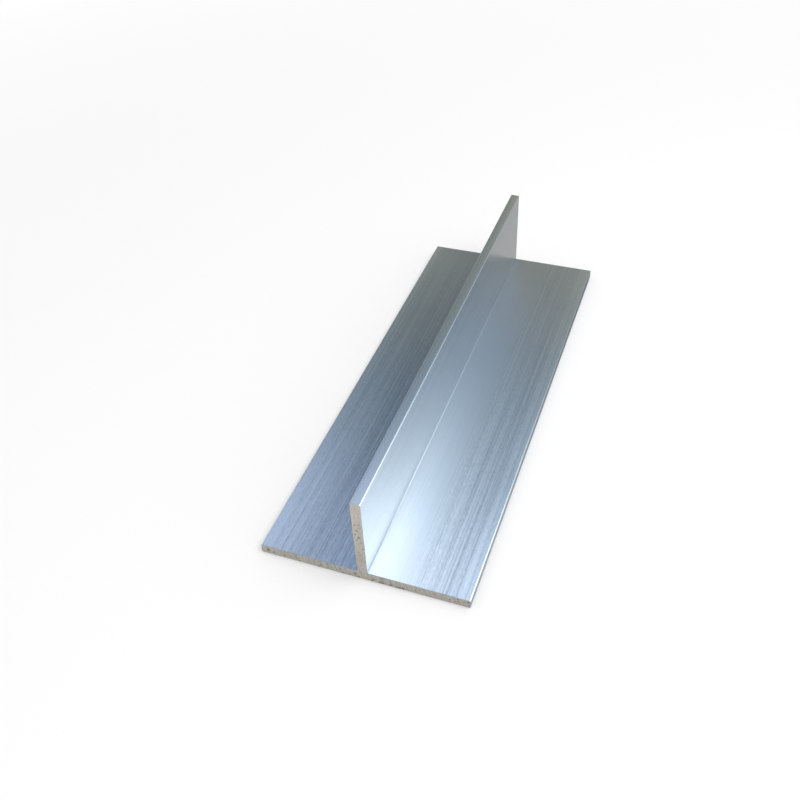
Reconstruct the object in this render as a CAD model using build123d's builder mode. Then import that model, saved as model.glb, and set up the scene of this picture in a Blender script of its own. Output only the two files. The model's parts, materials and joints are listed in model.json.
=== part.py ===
from build123d import *
import os

# Aluminium tee profile: one sawn length of extruded T-section stock, lying on its flange.
# Millimetres. +X runs across the flange, +Y along the length and +Z up the web.
# The origin is the middle of the flange's underside.

# The section, as the die shapes it
flange_width = 100.0
section_height = 50.0
flange_thickness = 5.0
web_thickness = 5.0
# in the two corners where the web grows out of the flange
root_radius = 0.5
# on the flange's four corners and the two at the top of the web
edge_radius = 0.6

# The length, between two square saw cuts
stock_length = 258.0

half_flange = flange_width / 2
half_web = web_thickness / 2

os.makedirs("parts", exist_ok=True)

# Half the section is drawn from the underside out round the flange and up the web,
# mirrored about the web's middle plane, and pressed out both ways along the length.
with BuildPart() as tee_profile:
    with BuildSketch(Plane.XZ) as section:
        with BuildLine() as outline:
            FilletPolyline(
                (0, 0),
                (half_flange, 0),
                (half_flange, flange_thickness),
                (half_web, flange_thickness),
                (half_web, section_height),
                (0, section_height),
                radius=(edge_radius, edge_radius, root_radius, edge_radius),
            )
            mirror(about=Plane.YZ)
        make_face()
    extrude(amount=stock_length / 2, both=True)
tee_profile.part.label = "tee_profile"
export_step(tee_profile.part, "parts/tee_profile.step")
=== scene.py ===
import json
import bpy
import numpy as np
from mathutils import Matrix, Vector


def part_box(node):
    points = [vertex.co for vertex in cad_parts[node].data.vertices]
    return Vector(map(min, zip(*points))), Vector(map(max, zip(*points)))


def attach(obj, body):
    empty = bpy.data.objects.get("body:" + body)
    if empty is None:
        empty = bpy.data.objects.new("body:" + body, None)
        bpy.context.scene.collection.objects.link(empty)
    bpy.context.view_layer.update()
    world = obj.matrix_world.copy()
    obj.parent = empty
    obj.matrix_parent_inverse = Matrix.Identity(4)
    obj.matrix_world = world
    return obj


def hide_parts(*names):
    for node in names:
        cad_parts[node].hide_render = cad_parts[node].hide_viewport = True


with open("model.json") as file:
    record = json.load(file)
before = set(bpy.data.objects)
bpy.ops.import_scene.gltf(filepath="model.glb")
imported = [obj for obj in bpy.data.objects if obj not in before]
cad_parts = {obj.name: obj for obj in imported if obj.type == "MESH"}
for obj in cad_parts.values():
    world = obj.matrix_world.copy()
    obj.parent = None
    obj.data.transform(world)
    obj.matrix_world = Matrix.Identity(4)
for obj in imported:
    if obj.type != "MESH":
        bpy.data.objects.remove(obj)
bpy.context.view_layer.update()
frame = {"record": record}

# A sawn length of mill-finish aluminium tee stock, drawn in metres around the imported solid.
# +X runs across the flange, +Y along the length and +Z up the web.
NODE = "tee_profile"
# the flat map, and the surface marks that every point of the mesh carries
FLAT_MAP = "OFBake"
MARKS = ("drag_and_light", "torn", "lined", "smooth")
MM = 0.001

# Sizes read from the frame, and the solid's two radii
low, high = (np.array(corner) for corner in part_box(NODE))
mounts = {mount["name"]: np.array(mount["pos_m"]) for mount in frame["record"]["mounts"]}
width, length, height = high - low
flange = mounts["flange_top_right"][2] - low[2]
half_web = mounts["web_right_face"][0]
edge_radius = 0.6 * MM
root_radius = 0.5 * MM

# How finely the surface is sampled
across_step = 0.28 * MM
along_step = 5.0 * MM
arc_steps = 7
junction_steps = 8
rim_distances = np.array([0.0, 0.04, 0.09, 0.16, 0.28, 0.5, 0.9, 1.8, 3.2]) * MM
ring_shares = np.array([0.0, 0.05, 0.2, 0.36, 0.52, 0.68, 0.84, 1.0])
weld_distance = 1e-4 * MM
# a point this near a face lies on it
hair = 0.1 * MM
flat_map_width, flat_map_margin = 0.95, 0.005

# Relief left by the die and the saw: (pitch across, pitch along, depth)
DIE_RELIEF = [
    (1.3 * MM, 90 * MM, 0.0028 * MM),
    (4.0 * MM, 160 * MM, 0.007 * MM),
    (15 * MM, 300 * MM, 0.014 * MM),
    (55 * MM, 400 * MM, 0.03 * MM),
]
rim_radius, rim_unevenness, rim_pitch = 0.11 * MM, 0.35, 4.5 * MM
chip_pitch, chip_depth = 1.5 * MM, 0.55 * MM
# the rim is chipped where its ripple rises above this level, which drops along the underside, and it looks
# torn where its radius is more than this many times the plain one
chip_level, chip_level_drop, torn_rim = 0.72, 0.42, 1.8
kerf_pitch, fine_kerf_pitch, kerf_depth = 0.9 * MM, 0.3 * MM, 0.012 * MM
kerf_share, fine_kerf_share = 0.6, 0.4
pit_depth = 0.14 * MM
chip_seed, rim_seed, speck_seed, kerf_seed, fine_kerf_seed = 17, 23, 31, 41, 43
# the saw's centre in the plane of the cut
blade_centre = np.array([0.19, 0.035])

# Drag lines on the flange's upper faces, measured in the photograph and adjusted, in millimetres:
# (x, start and end along the length, width, and depth as a share of the full depth). A negative depth is a
# burnished line, lighter than the rest.
# The narrow rows are drag lines in the metal. Of the broad rows, the dark band at -23 is painted shade beside
# the web, the light bands on the left flange's outer part (-36 to -48.3) and along the right rim (47 and
# 48.5) are painted highlights, and the bands at 36 and 41 darken the right flange.
DRAG_LINES_AND_LIGHT_BANDS = [
    (36.0, -150, 60, 28.0, 0.45),
    (41.0, -150, -10, 16.0, 0.20),
    (47.0, -55, 300, 9.0, -0.85),
    (48.5, -150, 300, 1.4, -0.45),
    (47.3, -150, 110, 0.7, 0.85),
    (46.0, -150, 110, 0.8, -0.45),
    (44.3, -150, 80, 0.8, -0.30),
    (43.2, -150, 80, 0.7, 1.05),
    (41.9, -150, 80, 0.6, 0.60),
    (40.2, -150, 80, 0.9, -0.65),
    (39.0, -150, 80, 0.7, 0.80),
    (38.1, -150, 80, 0.5, -0.40),
    (37.2, -150, 80, 0.6, 0.60),
    (36.2, -150, 80, 0.6, -0.40),
    (35.0, -150, 70, 0.7, -0.35),
    (33.9, -125, 60, 0.5, 0.30),
    (32.5, -150, 80, 0.8, 0.60),
    (31.0, -150, 20, 0.6, 0.40),
    (29.9, -150, 20, 0.6, -0.30),
    (28.3, -130, 10, 0.5, 0.25),
    (25.4, -150, 40, 0.7, 0.55),
    (24.2, -150, 40, 0.8, -0.35),
    (21.0, -110, 0, 0.7, 0.20),
    (-23.0, -150, 300, 24.0, 0.80),
    (-48.0, -150, 300, 12.0, -0.30),
    (-47.5, -150, 80, 6.0, -0.50),
    (-36.0, -150, 0, 16.0, -0.25),
    (-48.3, -150, 300, 2.6, -1.10),
    (-46.3, -150, 160, 0.9, 0.60),
    (-45.2, -150, 80, 0.8, -0.25),
    (-43.5, -150, 80, 0.7, 0.60),
    (-42.1, -120, 60, 0.5, 0.35),
    (-41.0, -150, 60, 0.6, -0.40),
    (-40.0, -150, 90, 0.7, 0.80),
    (-38.1, -150, 90, 1.0, -0.85),
    (-35.5, -150, 70, 0.8, 0.65),
    (-34.2, -150, 60, 0.7, -0.40),
    (-32.0, -140, 40, 0.7, 0.30),
    (-29.9, -150, 80, 0.7, -0.60),
    (-28.9, -150, 70, 0.6, 0.75),
    (-28.0, -150, 40, 0.5, -0.40),
    (-27.2, -150, 60, 0.6, 0.65),
    (-25.2, -150, 60, 0.8, -0.25),
    (-22.8, -150, 60, 0.7, 0.40),
    (-21.2, -150, 60, 0.7, 0.50),
    (-16.0, -140, 40, 0.8, 0.30),
]
# Bands of painted shade along the web's foot, likewise: (height above the flange, end along the length,
# width, depth)
FOOT_SHADE_BANDS = [
    (1.3, 300, 1.2, 0.8),
    (0.7, 20, 0.8, 2.0),
    (1.2, -10, 7.0, 1.3),
]
drag_depth = 0.006 * MM
brightest_drag, dullest_drag = -1, 1.5
drag_fade_in, drag_fade_out = 25 * MM, 130 * MM
foot_shade_fade = 60 * MM
# a painted highlight on the web's top, stronger on its right, and painted shade on the flange's two sides
top_highlight_level, top_highlight_tilt, side_shade_level = 0.45, 0.6, 0.9
# painted shade in the root up to the first distance from the front, a painted highlight beyond it that
# fades to plain at the second, and painted shade past that
shaded_root, shaded_root_fade, front_root_shade = 50 * MM, 15 * MM, 2
plain_root, plain_root_fade, far_root_shade = 205 * MM, 90 * MM, 0.5

# How strongly the die lined each face
lines_on_flange_top, lines_on_web, lines_below = 1.0, 0.35, 0.8
# right of the web the flange stays smooth this far from the middle, with a soft edge
smooth_strip, smooth_strip_edge = 20 * MM, 6 * MM
# what is left of the lines on that strip and at the far end, and how soon they fade towards it
strip_share, far_share, line_fade = 0.15, 0.35, 1.6

# Specks in the front cut, in millimetres: (x, z, radius)
SPECKS = [
    (-1.0, 36.5, 0.35),
    (0.5, 34.8, 0.3),
    (-0.4, 33.0, 0.45),
    (0.9, 31.6, 0.3),
    (-1.3, 30.4, 0.4),
    (0.2, 28.6, 0.5),
    (-0.8, 26.9, 0.35),
    (1.2, 25.4, 0.25),
    (-46.6, 2.4, 0.6),
    (-43.8, 1.6, 0.4),
    (-20.4, 1.7, 0.35),
    (-3.6, 2.2, 0.5),
    (5.0, 1.4, 0.4),
    (24.8, 1.8, 0.35),
    (-31.0, 0.3, 0.4),
    (-21.5, 0.3, 0.5),
    (-9.4, 0.3, 0.45),
    (-2.0, 0.4, 0.5),
    (4.4, 0.4, 0.5),
    (8.1, 0.4, 0.6),
    (9.7, 0.4, 0.5),
    (13.2, 0.4, 0.65),
    (15.9, 0.45, 0.5),
    (17.3, 0.5, 0.6),
    (19.0, 0.5, 0.7),
    (30.5, 0.4, 0.35),
    (49.0, 3.6, 0.5),
]
# Fine specks strewn over both cuts: how many, and the lowest and highest of the same three
specks_on_flange, specks_on_web = 40, 8
FLANGE_SPECK_RANGE = ((-50, 0.4, 0.15), (50, 4.6, 0.34))
WEB_SPECK_RANGE = ((-2.2, 6, 0.15), (2.2, 40, 0.34))
# the far cut has the front cut's specks mirrored and this much smaller
far_speck_share = 0.5

# The photograph's camera: a pinhole fitted to the object's edges in its square frame
photo_side = 800
focal_pixels = 919.45
sensor_width = 36.0
camera_place = np.array([0.11435, -0.35292, 0.33424])
camera_yaw, camera_pitch, camera_roll = -0.38789, -0.73812, 0.05877

# Random levels along each side of a ripple's lattice
LATTICE = 1024


def ripple(across, along, seed):
    """Smooth random relief from -1 to 1: seeded levels on a square lattice, eased into each other."""
    levels = np.random.default_rng(seed).uniform(-1, 1, (LATTICE, LATTICE))
    across, along = np.broadcast_arrays(across, along)
    i, j = np.floor(across).astype(int), np.floor(along).astype(int)
    p, q = across - i, along - j
    p, q = p * p * (3 - 2 * p), q * q * (3 - 2 * q)
    i, j = i % LATTICE, j % LATTICE
    k, l = (i + 1) % LATTICE, (j + 1) % LATTICE
    near = levels[i, j] * (1 - p) + levels[k, j] * p
    far = levels[i, l] * (1 - p) + levels[k, l] * p
    return near * (1 - q) + far * q


def run(start, end, outward, spine_start, spine_end, count):
    """A straight run of the outline: count points from start towards end, each with its outward
    direction and the point on the section's spine that it closes to. The end point is the next run's."""
    share = np.linspace(0, 1, count, endpoint=False)[:, None]
    points = np.array(start) * (1 - share) + np.array(end) * share
    spine = np.array(spine_start) * (1 - share) + np.array(spine_end) * share
    return points, np.broadcast_to(outward, points.shape), spine


def bend(centre, radius, turn, outward, spine, count):
    """A round corner of the outline: points at the radius about the centre, from the first to the second
    angle of turn. outward is 1 on a convex corner and -1 in a root."""
    angle = np.radians(np.linspace(*turn, count, endpoint=False))
    ray = np.stack([np.cos(angle), np.sin(angle)], 1)
    return np.array(centre) + radius * ray, outward * ray, np.broadcast_to(spine, ray.shape)


def step_count(distance):
    """How many steps a straight run of the outline is divided into."""
    return max(2, round(distance / across_step))


def tee_outline():
    """The T section as a closed loop of (x, z) points, their outward directions and their spine points.
    Half of it goes from the underside's middle out round the flange and up the web, and the other half
    is its mirror. Points that face each other across a wall close to the same spine point."""
    tip, out = width / 2 - edge_radius, width / 2
    root, shoulder, top = half_web + root_radius, flange + root_radius, height - edge_radius
    mid = flange / 2
    reach, rise = step_count(tip - root), step_count(top - shoulder)
    edge, crown = step_count(flange), step_count(half_web)
    corner = (root, shoulder)
    arc_points, arc_outward, _ = bend(corner, root_radius, (-90, -180), -1, (0, 0), 2 * junction_steps)
    inwards = run((root, mid), (0, mid), (0, 0), (0, 0), (0, 0), junction_steps)[0]
    upwards = run((0, mid), (0, shoulder), (0, 0), (0, 0), (0, 0), junction_steps)[0]
    runs = [
        run((0, 0), (root, 0), (0, -1), (0, mid), (root, mid), junction_steps),
        run((root, 0), (tip, 0), (0, -1), (root, mid), (tip, mid), reach),
        bend((tip, edge_radius), edge_radius, (-90, 0), 1, (tip, mid), arc_steps),
        run((out, edge_radius), (out, flange - edge_radius), (1, 0), (tip, mid), (tip, mid), edge),
        bend((tip, flange - edge_radius), edge_radius, (0, 90), 1, (tip, mid), arc_steps),
        run((tip, flange), (root, flange), (0, 1), (tip, mid), (root, mid), reach),
        (arc_points, arc_outward, np.concatenate([inwards, upwards])),
        run((half_web, shoulder), (half_web, top), (1, 0), (0, shoulder), (0, top), rise),
        bend((half_web - edge_radius, top), edge_radius, (0, 90), 1, (0, top), arc_steps),
        run((half_web - edge_radius, height), (0, height), (0, 1), (0, top), (0, top), crown),
    ]
    crest = np.array([[0, height]]), np.array([[0.0, 1.0]]), np.array([[0, top]])
    half = [np.concatenate(parts) for parts in zip(*runs, crest)]
    return [np.concatenate([part[:-1], part[::-1] * (-1, 1)]) for part in half]


def stations():
    """Places along the length: close together at the rims of the two cuts and evenly spaced between them."""
    inner = length / 2 - rim_distances[-1] - along_step / 2
    middle = np.linspace(-inner, inner, round(2 * inner / along_step))
    return np.concatenate([rim_distances - length / 2, middle, (length / 2 - rim_distances)[::-1]])


def drag_and_light_marks(x, z, y):
    """How dull each place is, or below zero how bright, from drag lines and painted light: each table row is
    a bell across the flange that fades in and out along the length, and only the flange's upper face carries
    them.
    Painted shade lies in bands along the web's foot and on the flange's sides, and a painted highlight on the
    web's top."""
    on_top = np.abs(z - flange) < hair
    marks = np.zeros(np.broadcast_shapes(x.shape, y.shape))
    for place, start, end, spread, depth in DRAG_LINES_AND_LIGHT_BANDS:
        bell = np.exp(-(((x - place * MM) / (spread * MM / 2)) ** 2))
        fade_in = np.clip((y - start * MM) / drag_fade_in, 0, 1)
        fade_out = np.clip((end * MM - y) / drag_fade_out, 0, 1)
        marks = marks + depth * bell * fade_in * fade_out
    # painted shade in bands along the web's foot
    foot = np.zeros_like(marks)
    for rise, end, spread, depth in FOOT_SHADE_BANDS:
        bell = np.exp(-(((z - flange - rise * MM) / (spread * MM / 2)) ** 2))
        foot = np.maximum(foot, depth * bell * np.clip((end * MM - y) / foot_shade_fade, 0, 1))
    on_web = (np.abs(x) < half_web + hair) & (z > flange)
    # painted highlight on the web's top, stronger on its right
    top_highlight = -(top_highlight_level + top_highlight_tilt * x / half_web) * (z > height - hair)
    # painted shade on the flange's two sides
    dull = side_shade_level * (np.abs(x) > width / 2 - hair)
    return np.clip(marks, brightest_drag, dullest_drag) * on_top + foot * on_web + top_highlight + dull


def line_strength(x, z, y):
    """How strongly the die lined each place: faintly on the web, and on the flange's upper face strongest
    on its outer part and towards the front."""
    on_top = np.abs(z - flange) < hair
    outer = np.clip((np.where(x > 0, x, x + width) - smooth_strip) / smooth_strip_edge, 0, 1)
    near = np.clip(line_fade * (0.5 - y / length), 0, 1)
    upper = lines_on_flange_top * (strip_share + (1 - strip_share) * outer)
    upper = upper * (far_share + (1 - far_share) * near)
    return np.where(on_top, upper, np.where(z > flange, lines_on_web, lines_below))


def speck_marks(x, z, side):
    """How far each point of a cut lies in a speck, from 0 to 1: the largest of the specks' round bells."""
    rng = np.random.default_rng(speck_seed + side)
    foot = rng.uniform(*FLANGE_SPECK_RANGE, (specks_on_flange, 3))
    upright = rng.uniform(*WEB_SPECK_RANGE, (specks_on_web, 3))
    chosen = np.array(SPECKS) * ((1, 1, 1) if side < 0 else (-1, 1, far_speck_share))
    place_x, place_z, size = np.concatenate([foot, upright, chosen]).T * MM
    gap = np.hypot(x[..., None] - place_x, z[..., None] - place_z)
    return np.exp(-((gap / size) ** 2)).max(-1)


def chips(distance_round, z, side):
    """Radius of a cut's rim: a small, slightly uneven break, with torn chips wherever a ripple round the
    section peaks. They are most frequent along the underside, where the saw breaks out."""
    torn = ripple(distance_round / chip_pitch, 0, chip_seed + side)
    uneven = ripple(distance_round / rim_pitch, 0, rim_seed + side)
    under = np.clip(1 - z / flange, 0, 1)
    peak = np.clip(torn - chip_level + chip_level_drop * under, 0, 1)
    return rim_radius * (1 + rim_unevenness * uneven) + chip_depth * peak


def body_sheet(points, outward, distance_round):
    """The drawn faces: the outline carried along the length, sunk by the die's ripples and drag lines,
    and drawn in at both ends on a quarter round of the rim's radius. Its round edges carry a painted
    highlight, and its root painted shade at the front and at the far end, with a painted highlight between."""
    y = stations()[:, None]
    x, z = points[:, 0], points[:, 1]
    relief = sum(
        depth * ripple(distance_round / across, y / along, seed)
        for seed, (across, along, depth) in enumerate(DIE_RELIEF)
    )
    # painted highlight on the round edges
    painted_edge_highlight = 2 * np.abs(outward[:, 0] * outward[:, 1])
    in_root = (np.abs(x) < half_web + root_radius) & (z < flange + root_radius)
    from_front = y + length / 2
    # along the root: painted shade at the front, a painted highlight further on, and painted shade at the far
    # end
    root_light_and_shade = np.clip((from_front - shaded_root) / shaded_root_fade, -front_root_shade, 1)
    root_light_and_shade = root_light_and_shade * np.clip((plain_root - from_front) / plain_root_fade, -far_root_shade, 1)
    painted_edge_highlight = painted_edge_highlight * np.where(in_root, root_light_and_shade, 1)
    marks = drag_and_light_marks(x, z, y) - painted_edge_highlight
    sunk = -drag_depth * np.maximum(marks, 0) + relief - sum(depth for _, _, depth in DIE_RELIEF)
    torn = np.zeros_like(sunk)
    for side in (-1, 1):
        radius = chips(distance_round, z, side)
        from_end = np.clip((length / 2 - side * y) / radius, 0, 1)
        drawn_in = radius * (1 - np.sqrt(1 - (1 - from_end) ** 2))
        sunk = sunk - drawn_in
        torn = np.maximum(torn, (radius > torn_rim * rim_radius) * (1 - from_end))
    place = np.stack(np.broadcast_arrays(x + outward[:, 0] * sunk, y, z + outward[:, 1] * sunk), -1)
    place[..., 2] += low[2]
    web_side = np.abs(outward[:, 0]) * (np.abs(x) < half_web + hair) * (z > flange)
    return place, marks, torn, line_strength(x, z, y), np.broadcast_to(web_side, sunk.shape)


def cut_sheet(rim, spine, side):
    """A sawn end: the rim drawn inwards, ring by ring, to the section's spine, with the blade's arcs and
    the specks sunk into it along the length."""
    share = ring_shares[:, None, None]
    flat = rim[:, [0, 2]] * (1 - share) + (spine + (0, low[2])) * share
    x, z = flat[..., 0], flat[..., 1]
    to_blade = np.hypot(x - blade_centre[0], z - blade_centre[1])
    coarse = ripple(to_blade / kerf_pitch, 0, kerf_seed + side)
    fine = ripple(to_blade / fine_kerf_pitch, 0, fine_kerf_seed + side)
    arcs = kerf_share * coarse + fine_kerf_share * fine
    specks = speck_marks(x, z - low[2], side)
    inside = np.minimum(1, ring_shares / ring_shares[2])[:, None]
    sunk = inside * (kerf_depth * (1 - arcs) + pit_depth * specks)
    return np.stack([x, side * (length / 2 - sunk), z], -1), specks


def grid_faces(rows, columns, first, turned):
    """Four-cornered faces between the neighbours of a grid, the other way round where turned."""
    index = first + np.arange(rows * columns).reshape(rows, columns)
    corners = [index[:-1, :-1], index[1:, :-1], index[1:, 1:], index[:-1, 1:]]
    return np.stack(corners[::-1] if turned else corners, -1).reshape(-1, 4)


def joined_mesh(name, sheets):
    """One closed mesh from several grids: points that coincide are welded, and a face that loses a corner
    in a weld becomes a triangle. Every sheet brings its places, flat map, finish and surface marks."""
    places, maps, faces, finishes, marks = [], [], [], [], []
    first = 0
    for sheet in sheets:
        rows, columns = sheet["place"].shape[:2]
        faces.append(grid_faces(rows, columns, first, sheet["turned"]))
        finishes.append(np.full(len(faces[-1]), sheet["finish"]))
        places.append(sheet["place"].reshape(-1, 3))
        maps.append(sheet["map"].reshape(-1, 2))
        marks.append(np.stack([sheet[mark] for mark in MARKS], -1).reshape(-1, len(MARKS)))
        first += rows * columns
    places, maps, marks = np.concatenate(places), np.concatenate(maps), np.concatenate(marks)
    faces, finishes = np.concatenate(faces), np.concatenate(finishes)
    keys = np.round(places / weld_distance).astype(np.int64)
    _, kept, welded = np.unique(keys, axis=0, return_index=True, return_inverse=True)
    corners = welded.reshape(-1)[faces]
    distinct = corners != np.roll(corners, 1, axis=1)
    whole = distinct.sum(1) > 2
    corners, faces, distinct, finishes = corners[whole], faces[whole], distinct[whole], finishes[whole]
    counts = distinct.sum(1)

    mesh = bpy.data.meshes.new(name)
    mesh.vertices.add(len(kept))
    mesh.vertices.foreach_set("co", places[kept].astype(np.float32).ravel())
    mesh.loops.add(int(counts.sum()))
    mesh.loops.foreach_set("vertex_index", corners[distinct].astype(np.int32))
    mesh.polygons.add(len(counts))
    mesh.polygons.foreach_set("loop_start", (np.cumsum(counts) - counts).astype(np.int32))
    mesh.polygons.foreach_set("material_index", finishes.astype(np.int32))
    layer = mesh.uv_layers.new(name=FLAT_MAP)
    layer.data.foreach_set("uv", maps[faces[distinct]].astype(np.float32).ravel())
    for column, mark in enumerate(MARKS):
        values = mesh.attributes.new(mark, "FLOAT", "POINT")
        values.data.foreach_set("value", marks[kept, column].astype(np.float32))
    mesh.update(calc_edges=True)
    mesh.shade_smooth()
    return mesh


def tee_bar():
    """The whole piece: the drawn faces and two sawn ends, each with its own place on one flat map that is
    true to scale, so that U runs round the section and V along the length."""
    points, outward, spine = tee_outline()
    steps = np.hypot(*np.diff(points, axis=0).T)
    distance_round = np.concatenate([[0], np.cumsum(steps)])
    scale, margin = flat_map_width / distance_round[-1], flat_map_margin
    place, drag_and_light, torn, lined, smooth = body_sheet(points, outward, distance_round)
    u, v = np.broadcast_arrays(distance_round, place[..., 1] + length / 2)
    flat = margin + scale * np.stack([u, v], -1)
    marks = dict(drag_and_light=drag_and_light, torn=torn, lined=lined, smooth=smooth)
    sheets = [dict(place=place, map=flat, turned=False, finish=0, **marks)]
    for number, (side, rim) in enumerate([(-1, place[0]), (1, place[-1])]):
        cut, specks = cut_sheet(rim, spine, side)
        corner = (margin + number * (width * scale + 2 * margin), margin * 2 + length * scale)
        flat = np.stack([width / 2 - side * cut[..., 0], cut[..., 2] - low[2]], -1)
        none = np.zeros_like(specks)
        marks = dict(drag_and_light=none, torn=specks, lined=none, smooth=none)
        sheets.append(dict(place=cut, map=corner + scale * flat, turned=side < 0, finish=1, **marks))
    piece = bpy.data.objects.new("tee_bar", joined_mesh("tee_bar", sheets))
    bpy.context.scene.collection.objects.link(piece)
    return piece


class Nodes:
    """Short ways to add and join the nodes of one tree."""

    def __init__(self, tree):
        self.tree = tree

    def add(self, kind, _settings=None, **inputs):
        """A node of that kind. Its inputs are given by name, with _ for a space, or by number after a _, as a
        plain value or another node's socket."""
        node = self.tree.nodes.new(kind)
        for key, value in (_settings or {}).items():
            setattr(node, key, value)
        for key, value in inputs.items():
            self.feed(node.inputs[int(key[1:]) if key[0] == "_" else key.replace("_", " ")], value)
        return node

    def feed(self, socket, value):
        """Joins another node's socket to this one, or sets a plain value there."""
        if isinstance(value, bpy.types.NodeSocket):
            self.tree.links.new(value, socket)
        else:
            socket.default_value = value

    def math(self, operation, *values):
        """The result of a sum, product or other operation on values or sockets."""
        node = self.tree.nodes.new("ShaderNodeMath")
        node.operation = operation
        for socket, value in zip(node.inputs, values):
            self.feed(socket, value)
        return node.outputs[0]

    def mix(self, share, first, second):
        """Colour that goes from first to second with share."""
        node = self.tree.nodes.new("ShaderNodeMix")
        node.data_type = "RGBA"
        for name, value in (("Factor_Float", share), ("A_Color", first), ("B_Color", second)):
            self.feed(next(s for s in node.inputs if s.identifier == name), value)
        return next(s for s in node.outputs if s.identifier == "Result_Color")

    def between(self, value, low_in, high_in, low_out, high_out):
        """Value carried evenly from one range to another, and held at its ends."""
        source = dict(From_Min=low_in, From_Max=high_in)
        target = dict(To_Min=low_out, To_Max=high_out)
        return self.add("ShaderNodeMapRange", None, Value=value, **source, **target).outputs[0]

    def noise(self, position, scale, detail, roughness):
        """Soft random clouds. Most of their values lie between 0.3 and 0.7."""
        size = dict(Scale=scale, Detail=detail, Roughness=roughness)
        return self.add("ShaderNodeTexNoise", None, Vector=position, **size).outputs[0]


def fresh_nodes(block):
    """The emptied tree of a material or a world, ready for its nodes."""
    block.use_nodes = True
    block.node_tree.nodes.clear()
    return Nodes(block.node_tree)


def effect(name, *results):
    """An empty shader node group that takes a position and gives a number for each result."""
    group = bpy.data.node_groups.new(name, "ShaderNodeTree")
    group.interface.new_socket("Position", in_out="INPUT", socket_type="NodeSocketVector")
    for result in results:
        group.interface.new_socket(result, in_out="OUTPUT", socket_type="NodeSocketFloat")
    nodes = Nodes(group)
    position = nodes.add("NodeGroupInput").outputs["Position"]
    return group, nodes, position, nodes.add("NodeGroupOutput").inputs


def tool_lines():
    """Lines that a tool leaves along its path. Position is stretched by the material, so that one unit is
    one line's pitch across it and one line's length along it."""
    group, nodes, position, result = effect("tool_lines", "Fine", "Streak")
    fine = nodes.noise(position, scale=1.0, detail=3.0, roughness=0.6)
    wide = nodes.noise(position, scale=0.21, detail=2.0, roughness=0.55)
    nodes.feed(result["Fine"], fine)
    nodes.feed(result["Streak"], nodes.between(wide, 0.32, 0.68, 0.0, 1.0))
    return group


def oxide_bloom():
    """Uneven dullness of bare aluminium: slow clouds, and fine grain inside them."""
    group, nodes, position, result = effect("oxide_bloom", "Cloud", "Grain")
    cloud = nodes.noise(position, scale=28.0, detail=4.0, roughness=0.55)
    grain = nodes.noise(position, scale=1900.0, detail=2.0, roughness=0.6)
    nodes.feed(result["Cloud"], nodes.between(cloud, 0.3, 0.7, 0.0, 1.0))
    nodes.feed(result["Grain"], grain)
    return group


# Finishes: colours, matched to the photograph together with the light, and how many lines there are to the
# metre, across the tool's path and along it
# the dull end is dull metal with a painted blue tint of the light it mirrors, and painted shade goes towards
# it
dull_metal, bright_metal = (0.330, 0.364, 0.408, 1), (0.89, 0.90, 0.915, 1)
torn_metal = (0.30, 0.28, 0.26, 1)
sawn_dark, sawn_light = (0.60, 0.565, 0.505, 1), (0.98, 0.95, 0.905, 1)
sawn_streak, speck_colour = (0.60, 0.56, 0.50, 1), (0.07, 0.065, 0.06, 1)
die_lines_across, die_lines_along = 1450, 6
saw_lines_across, saw_lines_along = 1600, 90
# dull clouds come this often along the length, against 1 across it
cloud_smear = 0.22
# what each kind of mark adds to the mill finish's tone, which is 0 on plain metal and rises with its shine
fine_line_tone, streak_tone, grain_tone, lined_middle = 2.3, 0.3, 1.4, 2.0
cloud_tone, drag_and_light_tone, smooth_tone = 0.2, -0.5, 0.25
dullest_tone, brightest_tone = -1.2, 0.6
dull_roughness, bright_roughness, torn_roughness = 0.35, 0.28, 0.2
# the web is smoother than the flange: its roughness is this many times the flange's
smooth_roughness = 0.58
# a sawn face's tone is part grain and part saw lines, and with it the face goes from dark and coarse to
# light and fine
sawn_grain_share, sawn_line_share = 0.42, 0.58
darkest_sawn, smoothest_sawn, lightest_sawn = 0.36, 0.62, 0.64
coarse_roughness, fine_roughness = 0.60, 0.44
# how far the colour of torn metal, saw streaks and specks covers what is below it
torn_share, sawn_streak_share, speck_share = 0.6, 0.15, 0.92
# how much of the grain shows in the bump of the drawn and the sawn faces
die_grain_bump, saw_grain_bump = 0.15, 0.3


def new_material(name):
    """A material with an empty tree, its nodes and its Principled shader's inputs."""
    material = bpy.data.materials.new(name)
    nodes = fresh_nodes(material)
    shader = nodes.add("ShaderNodeBsdfPrincipled")
    nodes.add("ShaderNodeOutputMaterial", None, Surface=shader.outputs[0])
    return material, nodes, shader.inputs


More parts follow.
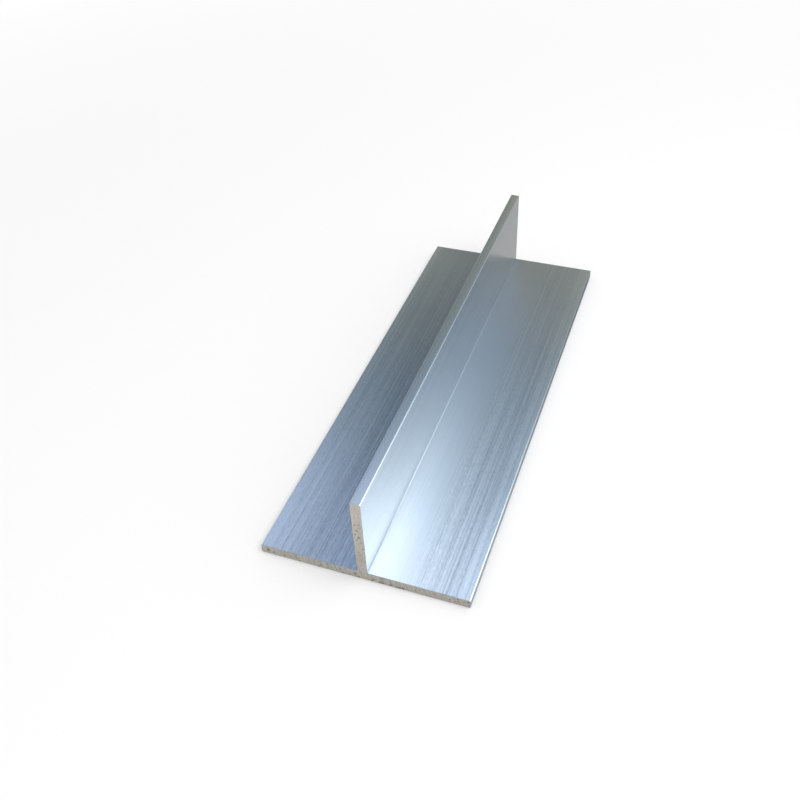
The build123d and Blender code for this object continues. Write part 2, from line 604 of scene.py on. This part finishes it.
def mill_finish(lines, bloom):
    """Extruded faces: bare metal drawn through a die, with lengthwise lines, dull streaks, drag lines, and
    the painted shade and painted highlights that the marks bring.
    Its shine spreads across the lines and stays tight along them, and the web is smoother than the rest."""
    material, nodes, shader = new_material("mill_finish")
    place = nodes.add("ShaderNodeTexCoord").outputs["Object"]
    pitch = (die_lines_across, die_lines_along, die_lines_across)
    stretched = nodes.add("ShaderNodeMapping", None, Vector=place, Scale=pitch).outputs[0]
    drawn = nodes.add("ShaderNodeGroup", dict(node_tree=lines), Position=stretched).outputs
    smeared = nodes.add("ShaderNodeMapping", None, Vector=place, Scale=(1, cloud_smear, 1)).outputs[0]
    dull = nodes.add("ShaderNodeGroup", dict(node_tree=bloom), Position=smeared).outputs
    marks = (nodes.add("ShaderNodeAttribute", dict(attribute_name=mark)) for mark in MARKS)
    drag_and_light, torn, lined, smooth = (node.outputs["Fac"] for node in marks)

    tone = nodes.math("MULTIPLY", drawn["Streak"], streak_tone)
    tone = nodes.math("MULTIPLY_ADD", drawn["Fine"], fine_line_tone, tone)
    tone = nodes.math("MULTIPLY_ADD", dull["Grain"], grain_tone, tone)
    tone = nodes.math("MULTIPLY", nodes.math("SUBTRACT", tone, lined_middle), lined)
    tone = nodes.math("MULTIPLY_ADD", nodes.math("SUBTRACT", dull["Cloud"], 0.5), cloud_tone, tone)
    # the drag marks bring drag lines, painted shade and painted highlights into the tone
    tone = nodes.math("MULTIPLY_ADD", drag_and_light, drag_and_light_tone, tone)
    tone = nodes.math("MULTIPLY_ADD", smooth, smooth_tone, tone)
    shine = nodes.between(tone, dullest_tone, brightest_tone, 0.0, 1.0)
    colour = nodes.mix(shine, dull_metal, bright_metal)
    colour = nodes.mix(nodes.math("MULTIPLY", torn, torn_share), colour, torn_metal)
    nodes.feed(shader["Base Color"], colour)

    rough = nodes.between(tone, -brightest_tone, brightest_tone, dull_roughness, bright_roughness)
    rough = nodes.math("MULTIPLY", rough, nodes.between(smooth, 0, 1, 1, smooth_roughness))
    nodes.feed(shader["Roughness"], nodes.math("MULTIPLY_ADD", torn, torn_roughness, rough))

    ridge = nodes.math("MULTIPLY", drawn["Fine"], lined)
    ridge = nodes.math("MULTIPLY_ADD", dull["Grain"], die_grain_bump, ridge)
    bump = nodes.add("ShaderNodeBump", None, Height=ridge, Strength=0.6, Distance=0.010 * MM)
    nodes.feed(shader["Normal"], bump.outputs[0])
    tangent = nodes.add("ShaderNodeTangent", dict(direction_type="UV_MAP", uv_map=FLAT_MAP))
    nodes.feed(shader["Tangent"], tangent.outputs[0])
    shader["Metallic"].default_value = 1.0
    shader["Anisotropic"].default_value = 0.98
    return material


def sawn_finish(lines, bloom):
    """Cut ends: coarse bare metal with the blade's arcs across it, warm and dull, with dark specks."""
    material, nodes, shader = new_material("sawn_finish")
    place = nodes.add("ShaderNodeTexCoord").outputs["Object"]
    blade = (blade_centre[0], 0, blade_centre[1])
    flat = nodes.add("ShaderNodeVectorMath", dict(operation="MULTIPLY"), _0=place, _1=(1, 0, 1)).outputs[0]
    to_blade = nodes.add("ShaderNodeVectorMath", dict(operation="DISTANCE"), _0=flat, _1=blade)
    across = nodes.math("MULTIPLY", to_blade.outputs["Value"], saw_lines_across)
    rise = nodes.add("ShaderNodeSeparateXYZ", None, Vector=place).outputs["Z"]
    along = nodes.math("MULTIPLY", rise, saw_lines_along)
    path = nodes.add("ShaderNodeCombineXYZ", None, X=across, Y=along).outputs[0]
    sawn = nodes.add("ShaderNodeGroup", dict(node_tree=lines), Position=path).outputs
    dull = nodes.add("ShaderNodeGroup", dict(node_tree=bloom), Position=place).outputs
    torn = nodes.add("ShaderNodeAttribute", dict(attribute_name="torn")).outputs["Fac"]

    tone = nodes.math("MULTIPLY", sawn["Fine"], sawn_line_share)
    tone = nodes.math("MULTIPLY_ADD", dull["Grain"], sawn_grain_share, tone)
    colour = nodes.mix(nodes.between(tone, darkest_sawn, lightest_sawn, 0.0, 1.0), sawn_dark, sawn_light)
    colour = nodes.mix(nodes.math("MULTIPLY", sawn["Streak"], sawn_streak_share), colour, sawn_streak)
    colour = nodes.mix(nodes.math("MULTIPLY", torn, speck_share), colour, speck_colour)
    nodes.feed(shader["Base Color"], colour)
    rough = nodes.between(tone, darkest_sawn, smoothest_sawn, coarse_roughness, fine_roughness)
    nodes.feed(shader["Roughness"], rough)
    ridge = nodes.math("MULTIPLY_ADD", dull["Grain"], saw_grain_bump, sawn["Fine"])
    bump = nodes.add("ShaderNodeBump", None, Height=ridge, Strength=0.7, Distance=0.05 * MM)
    nodes.feed(shader["Normal"], bump.outputs[0])
    shader["Metallic"].default_value = 0.78
    return material


# Stage: a white floor, soft light from above, and what the metal mirrors
tent_radius, tent_columns, tent_rows = 3.0, 65, 17
# The window and the room in the tent, with tones fitted to the shades that the photographed metal shows.
# They go by how far a ray heads along the length, from -1 at the front to 1 at the far end. The window's
# share goes by the ray's turn about the length, from -1 at the left over the top to 1 at the right.
WINDOW_ALONG = [
    (-1.00, (0.55, 0.60, 0.64)),
    (0.00, (0.95, 1.03, 1.10)),
    (0.35, (1.60, 1.78, 1.92)),
    (0.50, (2.00, 2.26, 2.40)),
    (0.54, (2.10, 2.40, 2.56)),
    (0.555, (2.00, 2.31, 2.48)),
    (0.58, (1.46, 1.75, 1.94)),
    (0.62, (1.04, 1.28, 1.45)),
    (0.66, (0.73, 0.92, 1.10)),
    (0.71, (0.34, 0.50, 0.71)),
    (0.76, (0.15, 0.245, 0.42)),
    (0.80, (0.07, 0.125, 0.235)),
    (0.87, (0.00, 0.00, 0.00)),
]
WINDOW_AROUND = [
    (-1.00, 0.45),
    (-0.80, 0.30),
    (-0.55, 0.03),
    (-0.20, 0.03),
    (0.00, (0.27, 0.35, 0.46)),
    (0.20, (0.83, 0.81, 0.78)),
    (0.32, (1.05, 1.00, 0.94)),
    (0.80, (1.05, 1.00, 0.94)),
    (1.00, 0.60),
]
ROOM_ALONG = [
    (-1.00, (0.30, 0.31, 0.32)),
    (0.30, (0.26, 0.29, 0.33)),
    (0.50, (0.19, 0.26, 0.44)),
    (0.58, (0.105, 0.15, 0.245)),
    (0.65, (0.085, 0.115, 0.148)),
    (0.75, (0.175, 0.19, 0.15)),
    (0.85, (0.31, 0.32, 0.265)),
    (1.00, (0.40, 0.42, 0.37)),
]
# Tones of the ground that the metal mirrors, matched to the same shades: beside it at the front and at the
# far end, before its front end, in the shade there, and in the shade along its foot
near_ground, far_ground = (1.10, 1.08, 1.04), (0.44, 0.445, 0.44)
end_ground = (0.58, 0.575, 0.56)
end_shade = (0.17, 0.165, 0.16)
foot_shade = (0.02, 0.02, 0.02)
foot_reach, end_reach = 9 * MM, 40 * MM
lamp_direction = np.array([0.40, -0.10, 0.90])
lamp_distance, lamp_size, lamp_power = 1.1, 0.9, 4.0
floor_reach, floor_drop, floor_colour = 4.0, 0.05 * MM, (0.92, 0.92, 0.92, 1)
# the floor goes over to plain white between these two distances from the object
white_from, white_beyond = 0.25, 0.8
world_light = 0.85


def seen_by_mirrors_only(thing):
    """The metal mirrors this stage object, but it is neither seen nor lights anything else."""
    thing.visible_camera = False
    thing.visible_diffuse = False
    thing.visible_shadow = False
    thing.visible_transmission = False
    thing.visible_volume_scatter = False


def glow(name, colour_of):
    """A plain glowing material whose colour the given function works out from the tree."""
    material = bpy.data.materials.new(name)
    nodes = fresh_nodes(material)
    shine = nodes.add("ShaderNodeEmission", None, Color=colour_of(nodes), Strength=1.0)
    nodes.add("ShaderNodeOutputMaterial", None, Surface=shine.outputs[0])
    material.cycles.emission_sampling = "NONE"
    return material


def stage_object(name, points, faces, material):
    """A piece of the stage, which isn't part of the object."""
    mesh = bpy.data.meshes.new(name)
    mesh.from_pydata(points.tolist(), [], faces.tolist())
    mesh.materials.append(material)
    thing = bpy.data.objects.new(name, mesh)
    bpy.context.scene.collection.objects.link(thing)
    return thing


def ramp(nodes, value, stops):
    """Colour that goes from stop to stop as the value goes from -1 to 1."""
    node = nodes.add("ShaderNodeValToRGB", None, Fac=nodes.between(value, -1, 1, 0, 1))
    elements = node.color_ramp.elements
    while len(elements) < len(stops):
        elements.new(0.5)
    for element, (place, tone) in zip(elements, stops):
        element.position = (place + 1) / 2
        element.color = (*np.broadcast_to(tone, 3), 1)
    return node.outputs["Color"]


def tent_colour(nodes):
    """A large window on the right, and the dim room around it."""
    place = nodes.add("ShaderNodeTexCoord").outputs["Object"]
    ray = nodes.add("ShaderNodeVectorMath", dict(operation="NORMALIZE"), _0=place).outputs[0]
    heading = nodes.add("ShaderNodeSeparateXYZ", None, Vector=ray).outputs
    turn = nodes.math("DIVIDE", nodes.math("ARCTAN2", heading["X"], heading["Z"]), np.pi / 2)
    window, share = ramp(nodes, heading["Y"], WINDOW_ALONG), ramp(nodes, turn, WINDOW_AROUND)
    room = ramp(nodes, heading["Y"], ROOM_ALONG)
    both = nodes.add("ShaderNodeVectorMath", dict(operation="MULTIPLY_ADD"), _0=window, _1=share, _2=room)
    return both.outputs[0]


def mirror_tent():
    """A dome over the object, on a grid of turn and rise, that glows softly for the metal to mirror."""
    turn = np.linspace(0, 2 * np.pi, tent_columns)
    rise = np.linspace(0, np.pi / 2, tent_rows)[:, None]
    x, y = np.cos(rise) * np.cos(turn), np.cos(rise) * np.sin(turn)
    points = tent_radius * np.stack(np.broadcast_arrays(x, y, np.sin(rise)), -1)
    faces = grid_faces(*points.shape[:2], 0, False)
    material = glow("tent_glow", tent_colour)
    seen_by_mirrors_only(stage_object("mirror_tent", points.reshape(-1, 3), faces, material))


def square(reach, level):
    """The points and the one face of a flat square about the origin."""
    around = [(-reach, -reach), (reach, -reach), (reach, reach), (-reach, reach)]
    return np.array([(x, y, level) for x, y in around]), np.array([(0, 1, 2, 3)])


def ground_colour(nodes):
    """Pale ground beside the object that dims towards its far end and darkens at its foot. Before the front
    end it is grey and shaded, and beyond the far end it is as dim as beside it there."""
    place = nodes.add("ShaderNodeTexCoord").outputs["Object"]
    spread = nodes.add("ShaderNodeVectorMath", dict(operation="ABSOLUTE"), _0=place).outputs[0]
    foot = (width / 2, length / 2, 0)
    outside = nodes.add("ShaderNodeVectorMath", dict(operation="SUBTRACT"), _0=spread, _1=foot).outputs[0]
    away = nodes.add("ShaderNodeSeparateXYZ", None, Vector=outside).outputs
    along = nodes.add("ShaderNodeSeparateXYZ", None, Vector=place).outputs["Y"]
    far = nodes.between(along, -length / 2, length / 2, 0, 1)
    open_ground = nodes.mix(far, (*near_ground, 1), (*far_ground, 1))
    beside = nodes.mix(nodes.between(away["X"], 0, foot_reach, 0, 1), (*foot_shade, 1), open_ground)
    clear = nodes.between(away["Y"], -end_reach / 2, end_reach, 0, 1)
    before = nodes.mix(clear, (*end_shade, 1), (*end_ground, 1))
    ends = nodes.mix(far, before, (*far_ground, 1))
    return nodes.mix(nodes.between(away["Y"], -end_reach / 10, 0, 0, 1), beside, ends)


def mirror_ground():
    """What the metal mirrors below the horizon."""
    material = glow("ground_glow", ground_colour)
    card = square(tent_radius, low[2] - floor_drop / 2)
    seen_by_mirrors_only(stage_object("mirror_ground", *card, material))


def looked_at(nodes):
    """1 for the camera and for a mirror or glass, and 0 for light that falls on something dull."""
    seen = nodes.add("ShaderNodeLightPath").outputs
    through = nodes.math("MAXIMUM", seen["Is Glossy Ray"], seen["Is Transmission Ray"])
    return nodes.math("MAXIMUM", seen["Is Camera Ray"], through)


def white_floor():
    """A pale floor that takes the object's shadow and goes over to plain white away from it."""
    material = bpy.data.materials.new("white_floor")
    nodes = fresh_nodes(material)
    place = nodes.add("ShaderNodeTexCoord").outputs["Object"]
    away = nodes.add("ShaderNodeVectorMath", dict(operation="LENGTH"), _0=place).outputs["Value"]
    paper = nodes.add("ShaderNodeBsdfDiffuse", None, Color=floor_colour, Roughness=0.0)
    white = nodes.add("ShaderNodeEmission", None, Color=(1, 1, 1, 1), Strength=1.0)
    share = nodes.between(away, white_from, white_beyond, 0.0, 1.0)
    share = nodes.math("MULTIPLY", share, looked_at(nodes))
    blend = nodes.add("ShaderNodeMixShader", None, Fac=share, _1=paper.outputs[0], _2=white.outputs[0])
    nodes.add("ShaderNodeOutputMaterial", None, Surface=blend.outputs[0])
    stage_object("floor", *square(floor_reach, low[2] - floor_drop), material)


def white_world():
    """White where it is looked at, and plain soft light everywhere else."""
    world = bpy.data.worlds.new("white_world")
    bpy.context.scene.world = world
    nodes = fresh_nodes(world)
    strength = nodes.between(looked_at(nodes), 0, 1, world_light, 1.0)
    shine = nodes.add("ShaderNodeBackground", None, Color=(1, 1, 1, 1), Strength=strength)
    nodes.add("ShaderNodeOutputWorld", None, Surface=shine.outputs[0])


def soft_light():
    """One broad lamp above, for the floor and the object's shadow."""
    lamp = bpy.data.lights.new("overhead_softbox", "AREA")
    lamp.shape = "DISK"
    lamp.size = lamp_size
    lamp.energy = lamp_power
    softbox = bpy.data.objects.new("overhead_softbox", lamp)
    bpy.context.scene.collection.objects.link(softbox)
    away = lamp_direction / np.linalg.norm(lamp_direction)
    side = np.cross((0, 1, 0), away)
    side /= np.linalg.norm(side)
    axes = np.stack([side, np.cross(away, side), away, lamp_distance * away], 1)
    softbox.matrix_world = Matrix([*axes.tolist(), [0, 0, 0, 1]])
    softbox.visible_glossy = False


def photo_camera():
    """The photograph's camera: turned about the vertical, tipped down, then rolled about its sight line."""
    reach = np.cos(camera_pitch)
    ahead = np.array([np.sin(camera_yaw) * reach, np.cos(camera_yaw) * reach, np.sin(camera_pitch)])
    level = np.array([np.cos(camera_yaw), -np.sin(camera_yaw), 0])
    down = np.cross(ahead, level)
    right = np.cos(camera_roll) * level + np.sin(camera_roll) * down
    up = np.sin(camera_roll) * level - np.cos(camera_roll) * down
    lens = bpy.data.cameras.new("photo_camera")
    lens.sensor_width = sensor_width
    lens.lens = sensor_width * focal_pixels / photo_side
    lens.clip_start = 0.01
    camera = bpy.data.objects.new("photo_camera", lens)
    bpy.context.scene.collection.objects.link(camera)
    axes = np.stack([right, up, -ahead, camera_place], 1)
    camera.matrix_world = Matrix([*axes.tolist(), [0, 0, 0, 1]])
    bpy.context.scene.camera = camera


photo_camera()
bpy.context.scene.view_settings.view_transform = "Standard"

bar = tee_bar()
lines, bloom = tool_lines(), oxide_bloom()
bar.data.materials.append(mill_finish(lines, bloom))
bar.data.materials.append(sawn_finish(lines, bloom))
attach(bar, "root")
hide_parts(NODE)

white_world()
white_floor()
mirror_tent()
mirror_ground()
soft_light()
